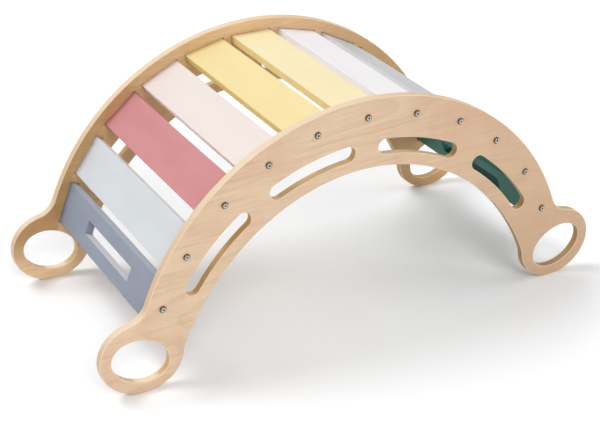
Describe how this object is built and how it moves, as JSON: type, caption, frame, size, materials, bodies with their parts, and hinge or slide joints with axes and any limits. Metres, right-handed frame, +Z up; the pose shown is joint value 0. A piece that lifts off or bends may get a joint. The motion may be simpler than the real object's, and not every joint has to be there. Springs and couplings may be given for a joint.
{
  "type": "wooden rocker arch",
  "caption": "Arched wooden climbing frame with plywood sides, ring-shaped feet and flat painted slats, turned over to serve as a rocker.",
  "frame": {"origin": "on the floor, midway between the four ring feet", "axes": "+X along the arch, +Y across it from one side panel to the other, +Z up"},
  "size_m": [0.9699, 0.4406, 0.4339],
  "materials": {
    "panel_plywood": "clear varnished birch plywood",
    "blue_grey_paint": "satin paint",
    "pale_grey_paint": "satin paint",
    "rose_paint": "satin paint",
    "blush_paint": "satin paint",
    "straw_paint": "satin paint",
    "cream_paint": "satin paint",
    "white_paint": "satin paint",
    "mid_grey_paint": "satin paint",
    "mist_paint": "satin paint",
    "sage_paint": "satin paint",
    "dark_green_paint": "satin paint",
    "screw_steel": "bright zinc plate"
  },
  "bodies": {
    "root": {"side_panel_front": "panel_plywood", "side_panel_back": "panel_plywood", "slat_01": "blue_grey_paint", "slat_02": "pale_grey_paint", "slat_03": "rose_paint", "slat_04": "blush_paint", "slat_05": "straw_paint", "slat_06": "cream_paint", "slat_07": "white_paint", "slat_08": "mid_grey_paint", "slat_09": "mist_paint", "slat_10": "sage_paint", "slat_11": "dark_green_paint", "screws_front": "screw_steel", "screws_back": "screw_steel"}
  },
  "joints": []
}
